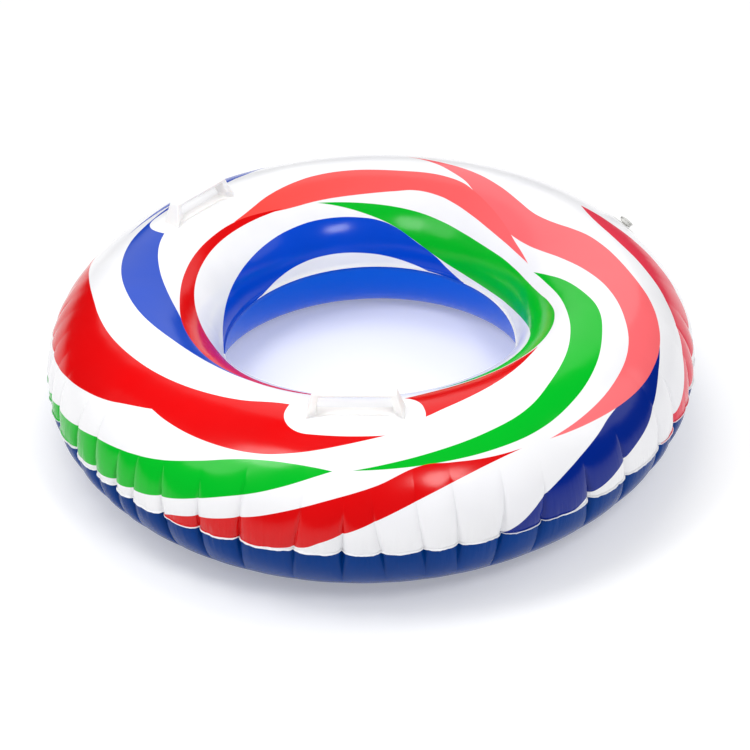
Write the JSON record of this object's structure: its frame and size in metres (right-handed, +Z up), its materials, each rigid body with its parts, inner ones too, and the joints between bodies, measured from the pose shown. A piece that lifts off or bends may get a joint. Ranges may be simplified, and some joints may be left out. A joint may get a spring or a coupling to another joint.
{
  "type": "inflatable swim ring",
  "caption": "Inflatable ring of printed and plain vinyl sheets welded at two seams, with moulded grab handles and a push-in air valve.",
  "frame": {"origin": "on the ring's axis, at the level that it rests on", "axes": "+Z up along the ring's axis, -Y towards the near handle, +X to the right of it"},
  "size_m": [0.953, 0.953, 0.2657],
  "materials": {
    "printed_sheet": "glossy soft vinyl sheet, white with a printed swirl of red, coral, green and blue bands",
    "blue_sheet": "glossy soft vinyl sheet, blue throughout",
    "soft_white": "soft moulded vinyl, satin white",
    "clear_valve": "soft moulded vinyl, cloudy and half clear"
  },
  "bodies": {
    "ring": {"upper_skin": "printed_sheet", "lower_skin": "blue_sheet", "near_handle": "soft_white", "far_handle": "soft_white", "valve_base": "clear_valve"},
    "stem": {"valve_stem": "clear_valve"},
    "cap": {"valve_cap": "clear_valve"},
    "flap": {"valve_flap": "clear_valve"}
  },
  "joints": [
    {"name": "valve_recess", "type": "slide", "parent": "ring", "child": "stem", "axis": [0.6694, 0.3121, 0.6742], "range_m": [-0.008, 0]},
    {"name": "cap_hinge", "type": "hinge", "parent": "stem", "child": "cap", "pos_m": [0.40202, 0.19938, 0.19711], "axis": [-0.611, -0.2849, 0.7386], "range_deg": [0, 110]},
    {"name": "flap_hinge", "type": "hinge", "parent": "stem", "child": "flap", "pos_m": [0.39799, 0.19133, 0.19067], "axis": [0.611, 0.2849, -0.7386], "range_deg": [0, 60], "stiffness_Nm_per_rad": 0.0002}
  ]
}
